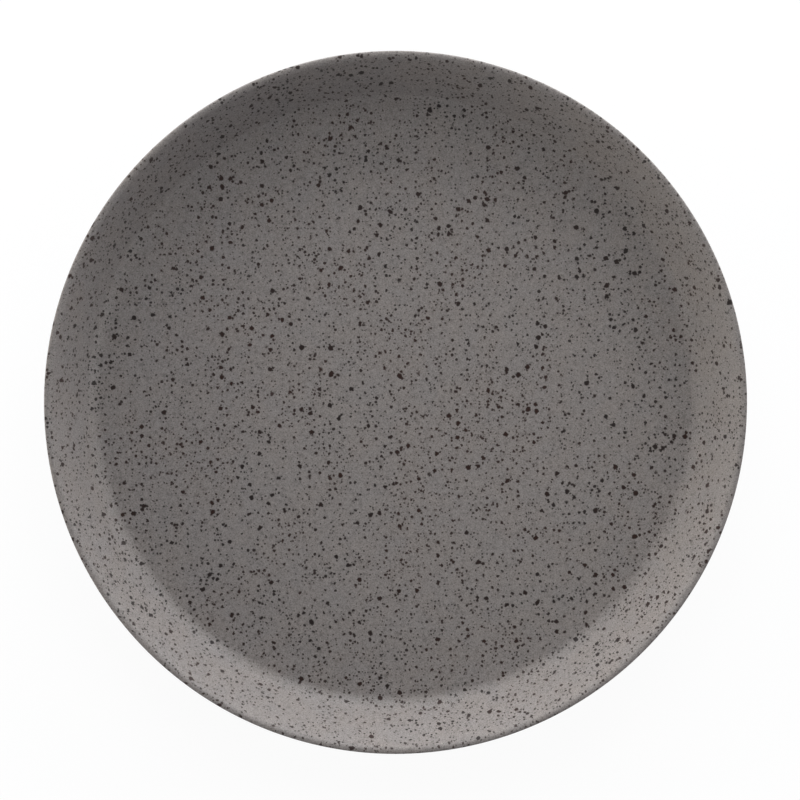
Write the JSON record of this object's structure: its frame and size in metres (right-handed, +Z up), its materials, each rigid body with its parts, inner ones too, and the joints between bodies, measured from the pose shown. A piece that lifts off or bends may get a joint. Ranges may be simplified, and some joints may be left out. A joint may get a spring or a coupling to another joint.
{
  "type": "salad plate",
  "caption": "Round stoneware salad plate with a flat well, a straight flared wall, a rounded lip, a speckled warm grey satin glaze and a bare foot ring.",
  "frame": {"origin": "middle of the plate at the height of the table it stands on", "axes": "+Z up along the plate's turning axis, through the open well; X and Y lie in the table, and the plate is the same all round"},
  "size_m": [0.205, 0.205, 0.0218],
  "materials": {
    "bare_stoneware": "matte",
    "speckled_glaze": "satin"
  },
  "bodies": {
    "root": {"stoneware_body": "bare_stoneware", "face_glaze": "speckled_glaze", "back_glaze": "speckled_glaze", "foot_recess_glaze": "speckled_glaze"}
  },
  "joints": []
}
